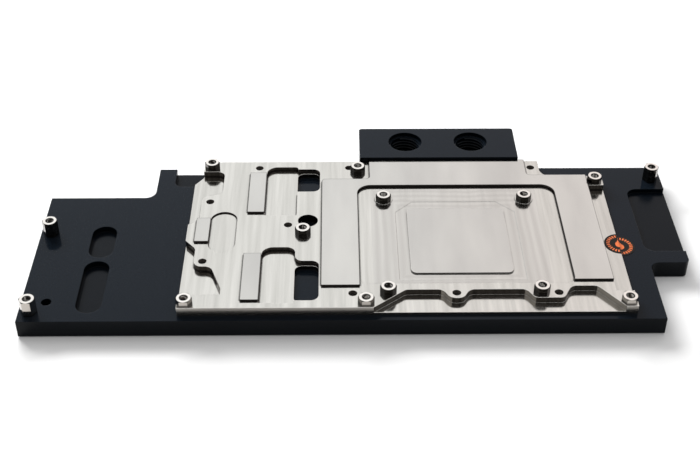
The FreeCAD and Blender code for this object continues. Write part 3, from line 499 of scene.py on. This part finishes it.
def printedVinyl():
    # vinyl sticker, screen printed: near black, with a ring of orange strokes and a drop in the middle, both matt
    material, tree = newMaterial("printed vinyl label")
    low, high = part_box("seal_label")
    centre = (low + high) / 2
    half = (high.y - low.y) / 2
    flat = addNode(tree, "Mapping", {"Vector": addNode(tree, "TexCoord", out="Object"),
                                     "Location": (-centre.x / half, -centre.y / half, 0),
                                     "Scale": (1 / half, 1 / half, 0)})
    place = addNode(tree, "SeparateXYZ", (flat,)).node.outputs
    radius = addNode(tree, "VectorMath", (flat,), "Value", operation="LENGTH")

    stroke = addNode(tree, "Math", (place["Y"], place["X"]), operation="ARCTAN2")
    for operation, value in (("MULTIPLY", label["strokes"] / (2 * math.pi)), ("FRACT", 0.0), ("SUBTRACT", 0.5),
                             ("ABSOLUTE", 0.0), ("LESS_THAN", label["strokeShare"])):
        stroke = addNode(tree, "Math", (stroke, value), operation=operation)
    ring = addNode(tree, "Math", (radius, *label["ring"]), operation="COMPARE")
    ring = addNode(tree, "Math", (ring, stroke), operation="MULTIPLY")

    fromDrop = addNode(tree, "VectorMath", (flat, label["dropMiddle"]), "Value", operation="DISTANCE")
    bulb = addNode(tree, "Math", (fromDrop, label["dropRadius"]), operation="LESS_THAN")
    slope = addNode(tree, "Math", (place["Y"], -label["dropSlope"], label["dropTip"] * label["dropSlope"]),
                    operation="MULTIPLY_ADD")
    across = addNode(tree, "Math", (place["X"],), operation="ABSOLUTE")
    cone = addNode(tree, "Math", (across, slope), operation="LESS_THAN")
    upper = addNode(tree, "Math", (place["Y"], 0.0), operation="GREATER_THAN")
    cone = addNode(tree, "Math", (cone, upper), operation="MULTIPLY")
    drop = addNode(tree, "Math", (bulb, cone), operation="MAXIMUM")
    artwork = addNode(tree, "Math", (ring, drop), operation="MAXIMUM")
    colour = addNode(tree, "Mix", {0: artwork, 6: label["ground"], 7: label["ink"]}, 2, data_type="RGBA")
    shader = addNode(tree, "BsdfPrincipled", {"Base Color": colour, "Roughness": label["rough"],
                                              "Specular IOR Level": label["shine"]})
    addNode(tree, "OutputMaterial", (shader,))
    return material


acetalSkin = milledAcetal()
screwSkin = plainFinish(finishes["screw"])
rubberSkin = plainFinish(finishes["seal"])
shortPost = turnedNickel("short")
skins = {
    "top_plate": acetalSkin,
    "terminal_block": acetalSkin,
    "cold_plate": milledNickel(),
    "gpu_standoffs": shortPost,
    "board_standoffs": shortPost,
    "tall_standoffs": turnedNickel("tall"),
    "jet_plate": screwSkin,
    "base_screws": screwSkin,
    "terminal_screws": screwSkin,
    "main_seal": rubberSkin,
    "island_seal": rubberSkin,
    "port_seals": rubberSkin,
    "seal_label": printedVinyl(),
}
for nodeName, skin in skins.items():
    dress(nodeName, skin)
print("materials on every node")


# the CAD leaves the threads as plain bores, at the thread's inner size
portThread = {
    "slot": "black_acetal",
    "skin": acetalSkin,
    "radius": 5.7225,
    "pitch": 1.337,
    "depth": 0.42,
    "low": 5.5,
    "turns": 3.3,
    "segments": 48,
    "places": ((-16.7, 63.1), (9.5, 63.1)),
}
postThread = {
    "slot": "nickel_post",
    "skin": tappedNickel(),
    "radius": 1.25,
    "pitch": 0.5,
    "depth": 0.14,
    "low": 10.8,
    "turns": 3.4,
    "segments": 20,
    "places": ((26.6, 26.6), (-26.6, 26.6), (-26.6, -26.6), (26.6, -26.6), (-92.9, 48.4), (-96.6, -32.5),
               (-56.75, 6.5), (-36.0, 45.7), (-34.4, -32.5), (55.9, -32.5), (55.5, 38.2), (-149.8, 11.1),
               (-149.8, -32.6), (78.7, 44.1)),
}
tappedThread = {
    "slot": "nickel",
    "skin": plainFinish(finishes["tapped"]),
    "radius": 1.52,
    "pitch": 0.6,
    "depth": 0.18,
    "low": 9.1,
    "turns": 1.9,
    "segments": 20,
    "places": ((-92.1, 25.6), (-92.2, -9.9), (-74.4, 47.6), (-62.3, 11.1), (-39.4, 47.6), (-38.9, -27.7),
               (-3.0, -27.7), (32.4, -27.7), (31.9, 47.4)),
}
ridge = {
    "foot": 0.84,  # of the pitch, at the wall
    "crest": 0.25,  # of the foot, at the tip
    "sink": 0.02,  # into the wall, in mm
    "merge": 0.0001,  # mm
    "smooth": 35,  # degrees
}


def makeThread(name, thread, place):
    # one ridge of an inner thread: a small plane drawn to the ridge's section, then carried up a helix
    bpy.ops.object.select_all(action="DESELECT")
    middle = ((thread["radius"] - thread["depth"] / 2 + ridge["sink"]) * mm, 0, thread["low"] * mm)
    bpy.ops.mesh.primitive_plane_add(size=thread["depth"] * mm, location=middle, rotation=(math.pi / 2, 0, 0))
    piece = bpy.context.object
    piece.name = name
    bpy.ops.object.transform_apply(location=True, rotation=True, scale=True)
    bpy.ops.object.mode_set(mode="EDIT")
    bpy.ops.mesh.select_all(action="SELECT")
    height = ridge["foot"] * thread["pitch"] / thread["depth"]
    bpy.ops.transform.resize(value=(1, 1, height), center_override=middle)
    bpy.ops.mesh.select_all(action="DESELECT")
    bpy.ops.object.mode_set(mode="OBJECT")
    for vertex in piece.data.vertices:
        vertex.select = vertex.co.x < middle[0]
    bpy.ops.object.mode_set(mode="EDIT")
    bpy.ops.transform.resize(value=(1, 1, ridge["crest"]), center_override=middle)
    bpy.ops.object.mode_set(mode="OBJECT")
    helix = piece.modifiers.new("helix", "SCREW")
    helix.axis = "Z"
    helix.angle = 2 * math.pi * thread["turns"]
    helix.screw_offset = thread["pitch"] * mm * thread["turns"]
    helix.steps = helix.render_steps = int(thread["segments"] * thread["turns"])
    bpy.ops.object.modifier_apply(modifier="helix")
    bpy.ops.object.mode_set(mode="EDIT")
    bpy.ops.mesh.select_all(action="SELECT")
    bpy.ops.mesh.remove_doubles(threshold=ridge["merge"] * mm)
    bpy.ops.mesh.normals_make_consistent(inside=False)
    bpy.ops.object.mode_set(mode="OBJECT")
    bpy.ops.object.shade_smooth_by_angle(angle=math.radians(ridge["smooth"]))
    piece.location = (place[0] * mm, place[1] * mm, 0)
    bpy.ops.object.transform_apply(location=True, rotation=True, scale=True)
    piece.data.materials.clear()
    piece.data.materials.append(thread["skin"])
    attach(piece, "root")


for setName, thread in (("portThread", portThread), ("postThread", postThread), ("tappedThread", tappedThread)):
    for number, place in enumerate(thread["places"], 1):
        makeThread(setName + str(number), thread, place)
print("threads cut")
